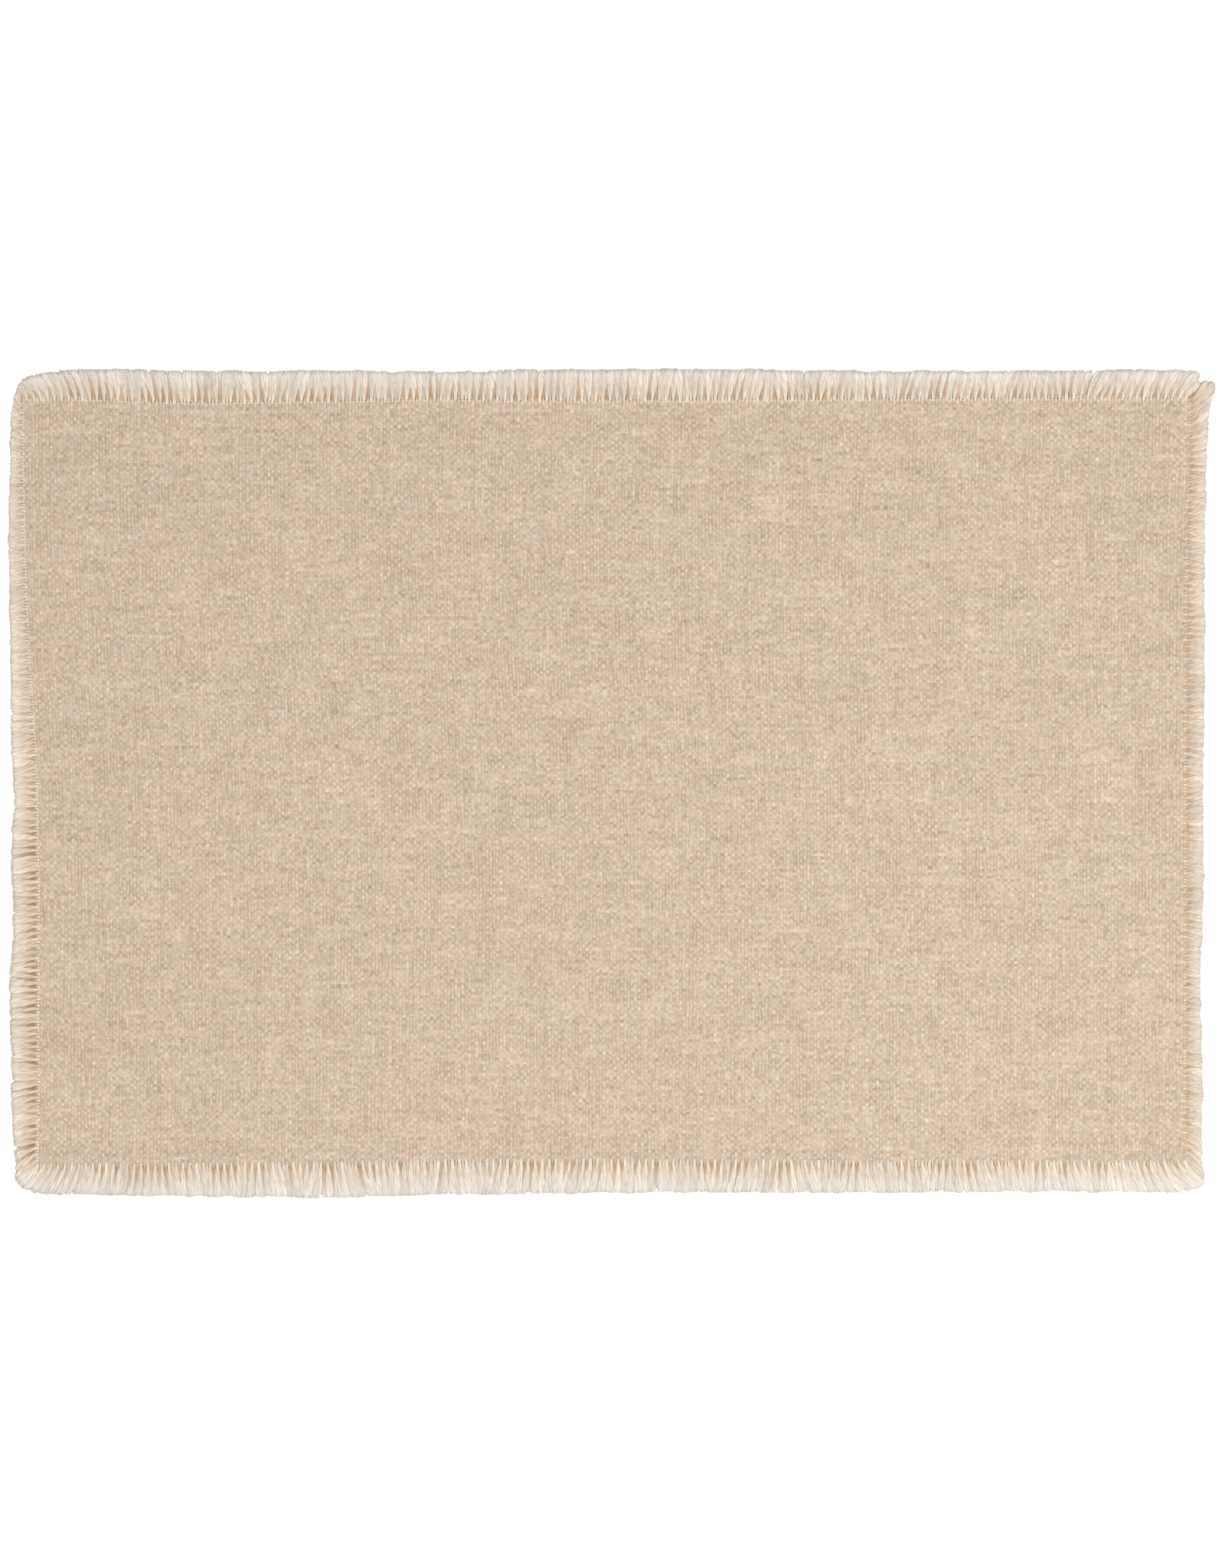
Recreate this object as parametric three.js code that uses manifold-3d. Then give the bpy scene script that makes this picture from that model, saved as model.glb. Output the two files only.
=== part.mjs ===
import * as THREE from 'three';
import { mergeVertices } from 'three/addons/utils/BufferGeometryUtils.js';
import Module from 'manifold-3d';

// A fringed woven placemat, lying flat and open on a table.
// One plain-woven cloth whose own yarns are left loose on all four sides.
// Millimetres. X runs along the long sides, Y towards the back edge, Z up from the table top.
// Each side is drawn in a frame of its own and then turned into place: "along" is measured
// from the middle of the side, clockwise as seen from above, and "out" away from the middle
// of the mat.

// Driving dimensions.
const CLOTH_THICKNESS = 1.6;
const CLOTH_RIM_BULGE = 0.3;
const CLOTH_HALF_LENGTH = 240;
const CLOTH_HALF_WIDTH = 158;
const CLOTH_COLUMNS = 30;
const CLOTH_ROWS = 20;
const PIECE_GAP = 0.3;
const STRIP_WIDTH = 1.2;
const STRIP_THICKNESS = 1.4;
const STRANDS_PER_STRIP_STEP = 3;

// A strand at its root, at its middle and at its tip. "out" is the share of its length and
// "shift" the share of its lean.
const STRAND_STATIONS = [
  { out: 0, shift: 0, width: 3.8, thickness: 1.2 },
  { out: 0.5, shift: 0.4, width: 3.3, thickness: 1.1 },
  { out: 1, shift: 1, width: 2.4, thickness: 0.8 },
];
const STRAND_SUNK = 0.6;

// How unevenly the loose yarns lie: slow and quick changes of lean along a side, and the
// scatter of a single strand.
const SLOW_LEAN = { reach: 0.9, wavelength: 37 };
const QUICK_LEAN = { reach: 0.35, wavelength: 13 };
const STRAND_LEAN_SCATTER = 0.15;
const STRAND_LENGTH_SCATTER = 0.35;
const STRAND_THICKNESS_SCATTER = 0.08;

// The four sides. A row gives, at one place along the side, how far out the weave ends, how
// far out the strands reach, and how far along the side their tips lean.
const SIDES = [
  {
    name: 'back',
    turn: 0,
    start: -242.4,
    end: 240.4,
    strands: 90,
    seed: 11,
    color: 0xe9e0d0,
    rows: [
      { along: -242.4, weave: 160.2, tip: 166.4, lean: -5.6 },
      { along: -237, weave: 160.4, tip: 169.6, lean: -4.6 },
      { along: -230, weave: 160.5, tip: 171.4, lean: -4.6 },
      { along: -212, weave: 160.1, tip: 172.6, lean: -3.4 },
      { along: -167, weave: 158.8, tip: 171.7, lean: -1.2 },
      { along: -119, weave: 159.4, tip: 171.9, lean: 0.3 },
      { along: -68, weave: 160.1, tip: 171.3, lean: -0.4 },
      { along: -30, weave: 159.6, tip: 172.4, lean: -0.9 },
      { along: 34, weave: 159.8, tip: 172.6, lean: 0.6 },
      { along: 113, weave: 160.3, tip: 171.7, lean: 1.8 },
      { along: 177, weave: 160.5, tip: 171.9, lean: 2.4 },
      { along: 222, weave: 160.5, tip: 172.2, lean: 4.6 },
      { along: 233, weave: 160.5, tip: 172, lean: 6.4 },
      { along: 240.4, weave: 160.4, tip: 170.6, lean: 9 },
    ],
  },
  {
    name: 'right',
    turn: -Math.PI / 2,
    start: -158.4,
    end: 156.4,
    strands: 60,
    seed: 23,
    color: 0xe6d5bf,
    rows: [
      { along: -158.4, weave: 242.8, tip: 253, lean: -10.4 },
      { along: -154.6, weave: 242.8, tip: 252.7, lean: -9.2 },
      { along: -149.8, weave: 242.7, tip: 249.8, lean: -6 },
      { along: -143, weave: 242.6, tip: 249.6, lean: -2.6 },
      { along: -135, weave: 242.4, tip: 249.5, lean: -0.4 },
      { along: -103, weave: 241.4, tip: 248.6, lean: 0.3 },
      { along: -55, weave: 241.1, tip: 248.6, lean: 0.8 },
      { along: 0, weave: 240.9, tip: 248, lean: 0.4 },
      { along: 47, weave: 241, tip: 248.2, lean: -0.5 },
      { along: 79, weave: 240.9, tip: 246.8, lean: 0.6 },
      { along: 123, weave: 240.8, tip: 247.8, lean: 1.2 },
      { along: 143, weave: 240.9, tip: 247.4, lean: 2.4 },
      { along: 156.4, weave: 241, tip: 247, lean: 11 },
    ],
  },
  {
    name: 'front',
    turn: Math.PI,
    start: -239,
    end: 236.6,
    strands: 90,
    seed: 37,
    color: 0xece4d6,
    rows: [
      { along: -239, weave: 158, tip: 168, lean: -9.4 },
      { along: -231, weave: 158.4, tip: 170.2, lean: -5 },
      { along: -215, weave: 158.4, tip: 170.3, lean: -2.4 },
      { along: -177, weave: 158.1, tip: 170.3, lean: -1 },
      { along: -113, weave: 158.3, tip: 170.8, lean: -0.7 },
      { along: -34, weave: 157.8, tip: 170.4, lean: 0.5 },
      { along: 4, weave: 157.6, tip: 171, lean: 0.9 },
      { along: 62, weave: 157.7, tip: 171.6, lean: 0.6 },
      { along: 119, weave: 158.9, tip: 172.8, lean: -0.4 },
      { along: 167, weave: 159.4, tip: 172.2, lean: 1 },
      { along: 212, weave: 159.6, tip: 171.9, lean: 3.2 },
      { along: 228, weave: 159.5, tip: 171.3, lean: 6 },
      { along: 236.6, weave: 159.3, tip: 168.2, lean: 10 },
    ],
  },
  {
    name: 'left',
    turn: Math.PI / 2,
    start: -157.4,
    end: 158.6,
    strands: 60,
    seed: 53,
    color: 0xe4d3bd,
    rows: [
      { along: -157.4, weave: 238.5, tip: 246, lean: -9.6 },
      { along: -150, weave: 238.4, tip: 248.1, lean: -3.8 },
      { along: -141, weave: 238.3, tip: 248.4, lean: -1.2 },
      { along: -123, weave: 238.1, tip: 248.7, lean: -0.6 },
      { along: -88, weave: 238.3, tip: 249.7, lean: -1.6 },
      { along: -56, weave: 238, tip: 248.2, lean: -1 },
      { along: -28, weave: 238.3, tip: 248.7, lean: 0.2 },
      { along: -9, weave: 238.5, tip: 247.4, lean: 0.3 },
      { along: 20, weave: 239.7, tip: 248.9, lean: -0.4 },
      { along: 52, weave: 242, tip: 249.1, lean: 0.4 },
      { along: 84, weave: 243.4, tip: 249.4, lean: 0.9 },
      { along: 106, weave: 244.1, tip: 250, lean: 0.7 },
      { along: 135, weave: 244.5, tip: 249.4, lean: 1.2 },
      { along: 149, weave: 244.6, tip: 248.9, lean: 2.4 },
      { along: 158.6, weave: 244.4, tip: 246.2, lean: 9 },
    ],
  },
];

// The library that fuses the strands to their strip.
const wasm = await Module();
wasm.setup();

// The value of one column at any place along a side, eased from row to row.
function valueAt(side, column, along) {
  const rows = side.rows;
  let next = rows.findIndex((row) => row.along > along);
  if (next === -1) next = rows.length - 1;
  if (next === 0) next = 1;
  const before = rows[next - 1];
  const after = rows[next];
  const share = THREE.MathUtils.smoothstep(along, before.along, after.along);
  return THREE.MathUtils.lerp(before[column], after[column], share);
}

// A repeatable scatter from -1 to 1 for strand number "index" of a side.
function scatter(side, index, channel) {
  const wave = Math.sin(index * 12.9898 + side.seed * 78.233 + channel * 37.719) * 43758.5453;
  return 2 * (wave - Math.floor(wave)) - 1;
}

// How far a strand's tip leans along its side.
function leanAt(side, along, index) {
  const slow = Math.sin((2 * Math.PI * along) / SLOW_LEAN.wavelength + side.seed);
  const quick = Math.sin((2 * Math.PI * along) / QUICK_LEAN.wavelength + 2 * side.seed);
  const own = STRAND_LEAN_SCATTER * scatter(side, index, 1);
  return valueAt(side, 'lean', along) + SLOW_LEAN.reach * slow + QUICK_LEAN.reach * quick + own;
}

// Shared corners are joined, so that each piece is one closed skin.
function closed(geometry) {
  geometry.deleteAttribute('normal');
  geometry.deleteAttribute('uv');
  return mergeVertices(geometry);
}

// Where the cloth's solid ends: the fringe's strip and a gap lie between it and the last pick.
function clothEdge(side, along) {
  return valueAt(side, 'weave', along) - STRIP_WIDTH - PIECE_GAP;
}

// The cloth: a thin flat slab whose four edges wave as the weave's do. A point keeps its
// share of the way from the middle to each edge, and half way up the rim bulges out. The
// cloth's half length and half width only place a point along the edge that it follows.
function makeCloth() {
  const [back, right, front, left] = SIDES;
  const geometry = new THREE.BoxGeometry(2, 2, CLOTH_THICKNESS, CLOTH_COLUMNS, CLOTH_ROWS, 2);
  const position = geometry.attributes.position;
  for (let index = 0; index < position.count; index += 1) {
    const across = position.getX(index);
    const deep = position.getY(index);
    const height = position.getZ(index);
    const roughX = across * CLOTH_HALF_LENGTH;
    const roughY = deep * CLOTH_HALF_WIDTH;
    const outX = across > 0 ? clothEdge(right, -roughY) : clothEdge(left, roughY);
    const outY = deep > 0 ? clothEdge(back, roughX) : clothEdge(front, -roughX);
    const drawnIn = Math.abs(height) > CLOTH_THICKNESS / 4 ? CLOTH_RIM_BULGE : 0;
    position.setX(index, across * (outX - drawnIn));
    position.setY(index, deep * (outY - drawnIn));
  }
  geometry.translate(0, 0, CLOTH_THICKNESS / 2);
  const material = new THREE.MeshStandardMaterial({ color: 0xd6c3a9, roughness: 0.95, metalness: 0 });
  const mesh = new THREE.Mesh(closed(geometry), material);
  mesh.name = 'cloth';
  return mesh;
}

// The strip that a side's strands grow from: the last millimetre of the weave. It turns only
// between two strands.
function makeStrip(side) {
  const length = side.end - side.start;
  const steps = side.strands / STRANDS_PER_STRIP_STEP;
  const geometry = new THREE.BoxGeometry(length, STRIP_WIDTH, STRIP_THICKNESS, steps, 1, 1);
  geometry.translate((side.start + side.end) / 2, -STRIP_WIDTH / 2, STRIP_THICKNESS / 2);
  const position = geometry.attributes.position;
  for (let index = 0; index < position.count; index += 1) {
    const weave = valueAt(side, 'weave', position.getX(index));
    position.setY(index, weave + position.getY(index));
  }
  return geometry;
}

// One strand of four sides: it starts inside the strip, rests level on the table, leans and
// narrows to its tip.
function makeStrand(side, along, index) {
  const root = valueAt(side, 'weave', along);
  const length = valueAt(side, 'tip', along) - root + STRAND_LENGTH_SCATTER * scatter(side, index, 2);
  const lean = leanAt(side, along, index);
  const fullness = 1 + STRAND_THICKNESS_SCATTER * scatter(side, index, 3);
  const spans = STRAND_STATIONS.length - 1;
  const geometry = new THREE.BoxGeometry(1, spans, 1, 1, spans, 1);
  geometry.translate(0, spans / 2, 0.5);
  const position = geometry.attributes.position;
  for (let corner = 0; corner < position.count; corner += 1) {
    const station = STRAND_STATIONS[Math.round(position.getY(corner))];
    const sunk = station.out === 0 ? STRAND_SUNK : 0;
    position.setX(corner, along + lean * station.shift + position.getX(corner) * station.width);
    position.setY(corner, root + length * station.out - sunk);
    position.setZ(corner, position.getZ(corner) * station.thickness * fullness);
  }
  return geometry;
}

// A closed geometry as a solid, and a solid as a geometry again.
function solidOf(geometry) {
  const skin = closed(geometry);
  return new wasm.Manifold(new wasm.Mesh({
    numProp: 3,
    vertProperties: new Float32Array(skin.attributes.position.array),
    triVerts: new Uint32Array(skin.index.array),
  }));
}

function geometryOf(solid) {
  const skin = solid.getMesh();
  const geometry = new THREE.BufferGeometry();
  geometry.setAttribute('position', new THREE.BufferAttribute(skin.vertProperties, skin.numProp));
  geometry.setIndex(new THREE.BufferAttribute(skin.triVerts, 1));
  return geometry;
}

// One side's fringe: its strip with its strands fused to it at their roots only. The strip's
// ends are square and stay clear of the next side's.
function makeFringe(side) {
  const pitch = (side.end - side.start) / side.strands;
  const solids = [solidOf(makeStrip(side))];
  for (let index = 0; index < side.strands; index += 1) {
    const along = side.start + (index + 0.5) * pitch;
    solids.push(solidOf(makeStrand(side, along, index)));
  }
  const geometry = geometryOf(wasm.Manifold.union(solids));
  const material = new THREE.MeshStandardMaterial({ color: side.color, roughness: 0.92, metalness: 0 });
  const mesh = new THREE.Mesh(geometry, material);
  mesh.name = `fringe_${side.name}`;
  mesh.rotation.z = side.turn;
  return mesh;
}

const placemat = new THREE.Group();
placemat.name = 'placemat';
placemat.add(makeCloth());
for (const side of SIDES) placemat.add(makeFringe(side));
placemat.traverse((piece) => {
  if (piece.isMesh) piece.geometry.computeVertexNormals();
});

// The origin is under the middle of the whole mat, strands included.
placemat.updateMatrixWorld(true);
const middle = new THREE.Box3().setFromObject(placemat, true).getCenter(new THREE.Vector3());
placemat.position.set(-middle.x, -middle.y, 0);

export default placemat;
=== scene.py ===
# %% [markdown]
# A fringed woven placemat, lying open on a pale table and seen from straight above.
# The real thing is one piece of plain-woven cloth. Cream yarns (the warp) run from front to
# back, sand-coloured yarns (the weft) run from left to right, and on all four sides the outer
# yarns were pulled away so that the crossing ones stick out as a short fringe. This script
# dresses a fixed model of plain solids: it reads their edges and builds the weave, every
# loose yarn end and the securing stitches on top of them, in metres.

# %% Load the plain solids
import math

import bmesh
import bpy
import numpy as np
from mathutils import Matrix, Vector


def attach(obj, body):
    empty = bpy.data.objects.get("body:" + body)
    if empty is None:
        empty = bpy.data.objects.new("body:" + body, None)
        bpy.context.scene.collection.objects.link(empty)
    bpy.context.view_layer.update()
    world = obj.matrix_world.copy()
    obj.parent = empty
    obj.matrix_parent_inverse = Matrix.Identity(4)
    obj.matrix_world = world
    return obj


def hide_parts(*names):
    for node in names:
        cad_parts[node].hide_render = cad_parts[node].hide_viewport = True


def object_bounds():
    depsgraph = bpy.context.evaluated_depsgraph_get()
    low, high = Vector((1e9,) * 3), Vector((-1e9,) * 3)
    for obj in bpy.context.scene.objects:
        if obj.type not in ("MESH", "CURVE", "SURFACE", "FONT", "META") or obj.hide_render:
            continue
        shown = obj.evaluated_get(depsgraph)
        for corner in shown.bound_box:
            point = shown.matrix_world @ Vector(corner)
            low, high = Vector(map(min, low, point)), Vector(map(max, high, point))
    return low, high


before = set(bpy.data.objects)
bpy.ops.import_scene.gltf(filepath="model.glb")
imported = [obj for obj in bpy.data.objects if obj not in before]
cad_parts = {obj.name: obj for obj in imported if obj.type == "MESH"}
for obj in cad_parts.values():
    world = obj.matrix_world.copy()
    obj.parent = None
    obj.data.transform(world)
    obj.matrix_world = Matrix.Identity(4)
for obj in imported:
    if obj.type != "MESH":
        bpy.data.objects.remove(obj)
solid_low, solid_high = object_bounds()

MM = 0.001
print("the solids reach", [round(v / MM, 2) for v in (*solid_low, *solid_high)], "mm")

# %% [markdown]
# The camera comes first. The picture is taken from straight above, so a flat cloth keeps its
# true outline and only the distance has to be worked out. A long lens is used, as in product
# pictures. The mat's box in the picture gives how many pixels go to a metre, and that gives
# the height.

# %% Camera straight above
PHOTO_WIDTH_PX = 1600
PHOTO_HEIGHT_PX = 2048
MAT_LEFT_PX, MAT_TOP_PX, MAT_RIGHT_PX, MAT_BOTTOM_PX = 10, 480, 1587, 1566
LENS_MM = 85
SENSOR_MM = 36

px_per_metre = (MAT_RIGHT_PX - MAT_LEFT_PX) / (solid_high.x - solid_low.x)
camera_height = PHOTO_HEIGHT_PX / px_per_metre / 2 / (SENSOR_MM / 2 / LENS_MM)
camera_x = (PHOTO_WIDTH_PX - MAT_LEFT_PX - MAT_RIGHT_PX) / 2 / px_per_metre
camera_y = (MAT_TOP_PX + MAT_BOTTOM_PX - PHOTO_HEIGHT_PX) / 2 / px_per_metre

camera_data = bpy.data.cameras.new("camera")
camera_data.lens = LENS_MM
camera_data.sensor_width = SENSOR_MM
camera = bpy.data.objects.new("camera", camera_data)
camera.location = (camera_x, camera_y, camera_height + solid_high.z)
bpy.context.scene.collection.objects.link(camera)
bpy.context.scene.camera = camera
print(f"{px_per_metre * MM:.3f} pixels to a millimetre, camera {camera_height:.3f} m above the mat")

# %% [markdown]
# The table is a wide pale plane. Soft light from all round is what a white studio gives, and
# one large lamp in front and to the right adds a little direction, so that the yarns get a
# light side and a dark side and the mat is slightly brighter towards that corner.

# %% Table and light
TABLE_SIZE = 30.0
TABLE_WHITE = (0.93, 0.93, 0.93, 1)
TABLE_ROUGHNESS = 0.9
ROOM_LIGHT = 0.86
LAMP_PLACE = (0.75, -0.7, 1.7)
LAMP_SIZE = 0.9
LAMP_WATTS = 24

scene = bpy.context.scene
scene.view_settings.view_transform = "Standard"

world = bpy.data.worlds.new("studio")
world.use_nodes = True
room = world.node_tree.nodes["Background"]
room.inputs["Color"].default_value = (1, 1, 1, 1)
room.inputs["Strength"].default_value = ROOM_LIGHT
scene.world = world

lamp_data = bpy.data.lights.new("soft lamp", "AREA")
lamp_data.size = LAMP_SIZE
lamp_data.energy = LAMP_WATTS
lamp = bpy.data.objects.new("soft lamp", lamp_data)
lamp.location = LAMP_PLACE
lamp.rotation_euler = (-lamp.location).to_track_quat("-Z", "Y").to_euler()
scene.collection.objects.link(lamp)

bm = bmesh.new()
bmesh.ops.create_grid(bm, x_segments=1, y_segments=1, size=TABLE_SIZE / 2)
table_mesh = bpy.data.meshes.new("table")
bm.to_mesh(table_mesh)
bm.free()
table = bpy.data.objects.new("table", table_mesh)
scene.collection.objects.link(table)
table_paint = bpy.data.materials.new("table white")
table_paint.use_nodes = True
table_shader = table_paint.node_tree.nodes["Principled BSDF"]
table_shader.inputs["Base Color"].default_value = TABLE_WHITE
table_shader.inputs["Roughness"].default_value = TABLE_ROUGHNESS
table_mesh.materials.append(table_paint)
print("table", TABLE_SIZE, "m wide, lamp", LAMP_WATTS, "W")

# %% [markdown]
# Each side of the mat has its own plain solid: a narrow strip along the last millimetre of
# the weave, and a row of thick strands. They say where the weave ends, how far the fringe
# reaches and which way it leans, so these three are read off the solids rather than typed in
# again. A side is looked at in a frame of its own: "along" runs clockwise round the mat, and
# "out" points away from its middle.

# %% Read the edges off the solids
TURNS = {"back": 0.0, "right": -math.pi / 2, "front": math.pi, "left": math.pi / 2}
STRIP_TOP = 1.35 * MM
TIP_TOP_LOW = 0.7 * MM
TIP_TOP_HIGH = 0.9 * MM
SAME_POINT = 0.05 * MM


def to_side(name, x, y):
    """The mat's x and y as a side's along and out."""
    turn = TURNS[name]
    return x * math.cos(turn) + y * math.sin(turn), y * math.cos(turn) - x * math.sin(turn)


def to_mat(name, along, out):
    """A side's along and out as the mat's x and y."""
    turn = TURNS[name]
    return along * math.cos(turn) - out * math.sin(turn), along * math.sin(turn) + out * math.cos(turn)


def read_side(name):
    """The weave's end line, and the reach and lean of the strands, of one side."""
    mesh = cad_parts[f"fringe_{name}"].data
    points = np.empty(len(mesh.vertices) * 3, np.float32)
    mesh.vertices.foreach_get("co", points)
    x, y, z = points.reshape(-1, 3).astype(float).T
    along, out = to_side(name, x, y)

    # The strip's top is the highest face, and the upper corners of each strand's tip lie
    # between the two tip heights.
    strip_along, strip_out = along[z > STRIP_TOP], out[z > STRIP_TOP]
    line = np.unique(np.round(strip_along, 5))
    weave = np.array([strip_out[abs(strip_along - place) < SAME_POINT].max() for place in line])

    tops = np.column_stack([along, out])[(z > TIP_TOP_LOW) & (z < TIP_TOP_HIGH)]
    tops = tops[np.argsort(tops[:, 0])]
    tops = tops[np.diff(tops[:, 0], prepend=-1) > SAME_POINT]
    tips = tops.reshape(-1, 2, 2).mean(axis=1)
    roots = line[0] + (np.arange(len(tips)) + 0.5) * (line[-1] - line[0]) / len(tips)
    return {
        "line": line,
        "weave": weave,
        "roots": roots,
        "reach": tips[:, 1],
        "lean": tips[:, 0] - roots,
    }


sides = {name: read_side(name) for name in TURNS}
for name, side in sides.items():
    print(name, len(side["roots"]), "strands, weave out to",
          round(side["weave"].mean() / MM, 1), "mm, tips to", round(side["reach"].max() / MM, 1), "mm")


def weave_end(name, along):
    """How far out the weave of a side ends, at a place along it."""
    return np.interp(along, sides[name]["line"], sides[name]["weave"])


# %% [markdown]
# The weave is counted before it is built. A real plain weave of this kind has a warp yarn
# every 1.44 mm and a weft yarn every 1.31 mm, which gives about 330 yarns one way and 240 the
# other. The same count then places the loose ends, so that each one grows out of its own yarn.

# %% Count the yarns
WARP_PITCH = 1.44 * MM
WEFT_PITCH = 1.31 * MM
half_length = (weave_end("right", 0.0) + weave_end("left", 0.0)) / 2
half_width = (weave_end("back", 0.0) + weave_end("front", 0.0)) / 2
warp_count = round(2 * half_length / WARP_PITCH)
weft_count = round(2 * half_width / WEFT_PITCH)
warp_share = (2 * np.arange(warp_count) + 1) / warp_count - 1
weft_share = (2 * np.arange(weft_count) + 1) / weft_count - 1
print(warp_count, "warp yarns and", weft_count, "weft yarns")


def crossing(across, deep):
    """The mat's x and y at a share of the way, from -1 to 1, between its edges."""
    rough_x = across * half_length
    rough_y = deep * half_width
    left = -weave_end("left", rough_y)
    right = weave_end("right", -rough_y)
    front = -weave_end("front", -rough_x)
    back = weave_end("back", rough_x)
    x = left + (right - left) * (across + 1) / 2
    y = front + (back - front) * (deep + 1) / 2
    return x, y


# %% [markdown]
# The cloth is a fine grid with one point for each place where two yarns cross. Woven tubes
# would need millions of faces, while a grid that goes up where the warp is on top and down
# where the weft is keeps the true relief in the mesh and leaves only the roundness of each
# yarn to the finish. The yarns also wander and vary in thickness, as spun yarns do. The grid
# gets one more ring at the weave's very end, which is then extruded down to the table and
# closed, so that the cloth is one solid sheet.

# %% Smooth random fields for uneven yarns
def smooth_field(rng, rows, columns, reach):
    """Random numbers from about -1 to 1 that change slowly, over "reach" points each way."""
    coarse = rng.uniform(-1, 1, (rows // reach[0] + 3, columns // reach[1] + 3))
    row = np.arange(rows) / reach[0]
    column = np.arange(columns) / reach[1]
    r, c = row.astype(int), column.astype(int)
    fr = (row - r)[:, None]
    fc = (column - c)[None, :]
    fr, fc = fr * fr * (3 - 2 * fr), fc * fc * (3 - 2 * fc)
    top = coarse[r][:, c] * (1 - fc) + coarse[r][:, c + 1] * fc
    low = coarse[r + 1][:, c] * (1 - fc) + coarse[r + 1][:, c + 1] * fc
    return top * (1 - fr) + low * fr


# %% Grid of yarn crossings
CLOTH_TOP = 1.5 * MM
WARP_CROWN = 0.1 * MM
WEFT_DIP = 0.07 * MM
RIM_TOP = 1.35 * MM
EDGE_DROP = 0.06 * MM
YARN_WANDER = 0.12
WARP_WANDER_REACH = (9, 3)
WEFT_WANDER_REACH = (3, 9)
YARN_UNEVEN = 0.07
SLUB_RISE = 0.05 * MM
SLUB_REACH = (1, 4)
LOW_WAVES = 0.03 * MM
WAVE_REACH = (34, 30)
CLOTH_SEED = 4
rng = np.random.default_rng(CLOTH_SEED)

bm = bmesh.new()
bmesh.ops.create_grid(bm, x_segments=warp_count + 1, y_segments=weft_count + 1, size=1.0)
bm.verts.ensure_lookup_table()
flat = np.array([vertex.co[:2] for vertex in bm.verts])
column = np.rint((flat[:, 0] + 1) / 2 * (warp_count + 1)).astype(int) - 1
row = np.rint((flat[:, 1] + 1) / 2 * (weft_count + 1)).astype(int) - 1
across = np.clip((2 * column + 1) / warp_count - 1, -1, 1)
deep = np.clip((2 * row + 1) / weft_count - 1, -1, 1)
inside = (abs(across) < 1) & (abs(deep) < 1)

grid_shape = (weft_count + 2, warp_count + 2)
here = (row + 1, column + 1)
warp_wander = smooth_field(rng, *grid_shape, WARP_WANDER_REACH)[here] * YARN_WANDER
weft_wander = smooth_field(rng, *grid_shape, WEFT_WANDER_REACH)[here] * YARN_WANDER
warp_uneven = rng.normal(0, YARN_UNEVEN, warp_count + 2)[column + 1]
weft_uneven = rng.normal(0, YARN_UNEVEN, weft_count + 2)[row + 1]
slubs = smooth_field(rng, *grid_shape, SLUB_REACH)[here]
waves = smooth_field(rng, *grid_shape, WAVE_REACH)[here]

x, y = crossing(across, deep)
x += np.where(inside, (warp_wander + warp_uneven) * WARP_PITCH, 0)
y += np.where(inside, (weft_wander + weft_uneven) * WEFT_PITCH, 0)
warp_on_top = (column + row) % 2 == 0
z = CLOTH_TOP + np.where(warp_on_top, WARP_CROWN, -WEFT_DIP) + slubs * SLUB_RISE + waves * LOW_WAVES
first_yarn = (column == 0) | (column == warp_count - 1) | (row == 0) | (row == weft_count - 1)
z = np.where(first_yarn, z - EDGE_DROP, z)
z = np.where(inside, z, RIM_TOP)
for vertex, place in zip(bm.verts, np.column_stack([x, y, z])):
    vertex.co = place
print(len(bm.verts), "crossings and rim points")

# %% [markdown]
# The finish has to know which yarn is on top at any point, so the grid gets a map in which a
# step of one is one yarn: u counts warp yarns and v counts weft yarns. A second map lays the
# top, the underside and the rim side by side on one square, for baking.

# %% Rim, underside and maps
UNDER_TUCK = 0.35 * MM
TOP_MAP_DEPTH = 0.8
MAP_EDGE = 0.004
UNDERSIDE_MAP_WIDTH = 0.45

yarn_map = bm.loops.layers.uv.new("Yarns")
bake_map = bm.loops.layers.uv.new("OFBake")
counted = np.column_stack([np.clip(column, -0.5, warp_count - 0.5), np.clip(row, -0.5, weft_count - 0.5)])
spread = np.column_stack([(counted[:, 0] + 0.5) / warp_count, (counted[:, 1] + 0.5) / weft_count])
bm.verts.index_update()
for face in bm.faces:
    face.smooth = True
    for loop in face.loops:
        index = loop.vert.index
        loop[yarn_map].uv = counted[index]
        loop[bake_map].uv = (
            MAP_EDGE + spread[index, 0] * (1 - 2 * MAP_EDGE),
            MAP_EDGE + spread[index, 1] * (TOP_MAP_DEPTH - 2 * MAP_EDGE),
        )

rim_edges = [edge for edge in bm.edges if edge.is_boundary]
walls = bmesh.ops.extrude_edge_only(bm, edges=rim_edges)["geom"]
low_ring = [item for item in walls if isinstance(item, bmesh.types.BMVert)]
for vertex in low_ring:
    flat_place = vertex.co.copy()
    flat_place.z = 0
    vertex.co -= flat_place.normalized() * UNDER_TUCK
    vertex.co.z = 0
wall_faces = [item for item in walls if isinstance(item, bmesh.types.BMFace)]
low_edges = [item for item in walls if isinstance(item, bmesh.types.BMEdge)]
underside = bmesh.ops.contextual_create(bm, geom=low_edges)["faces"]


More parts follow.
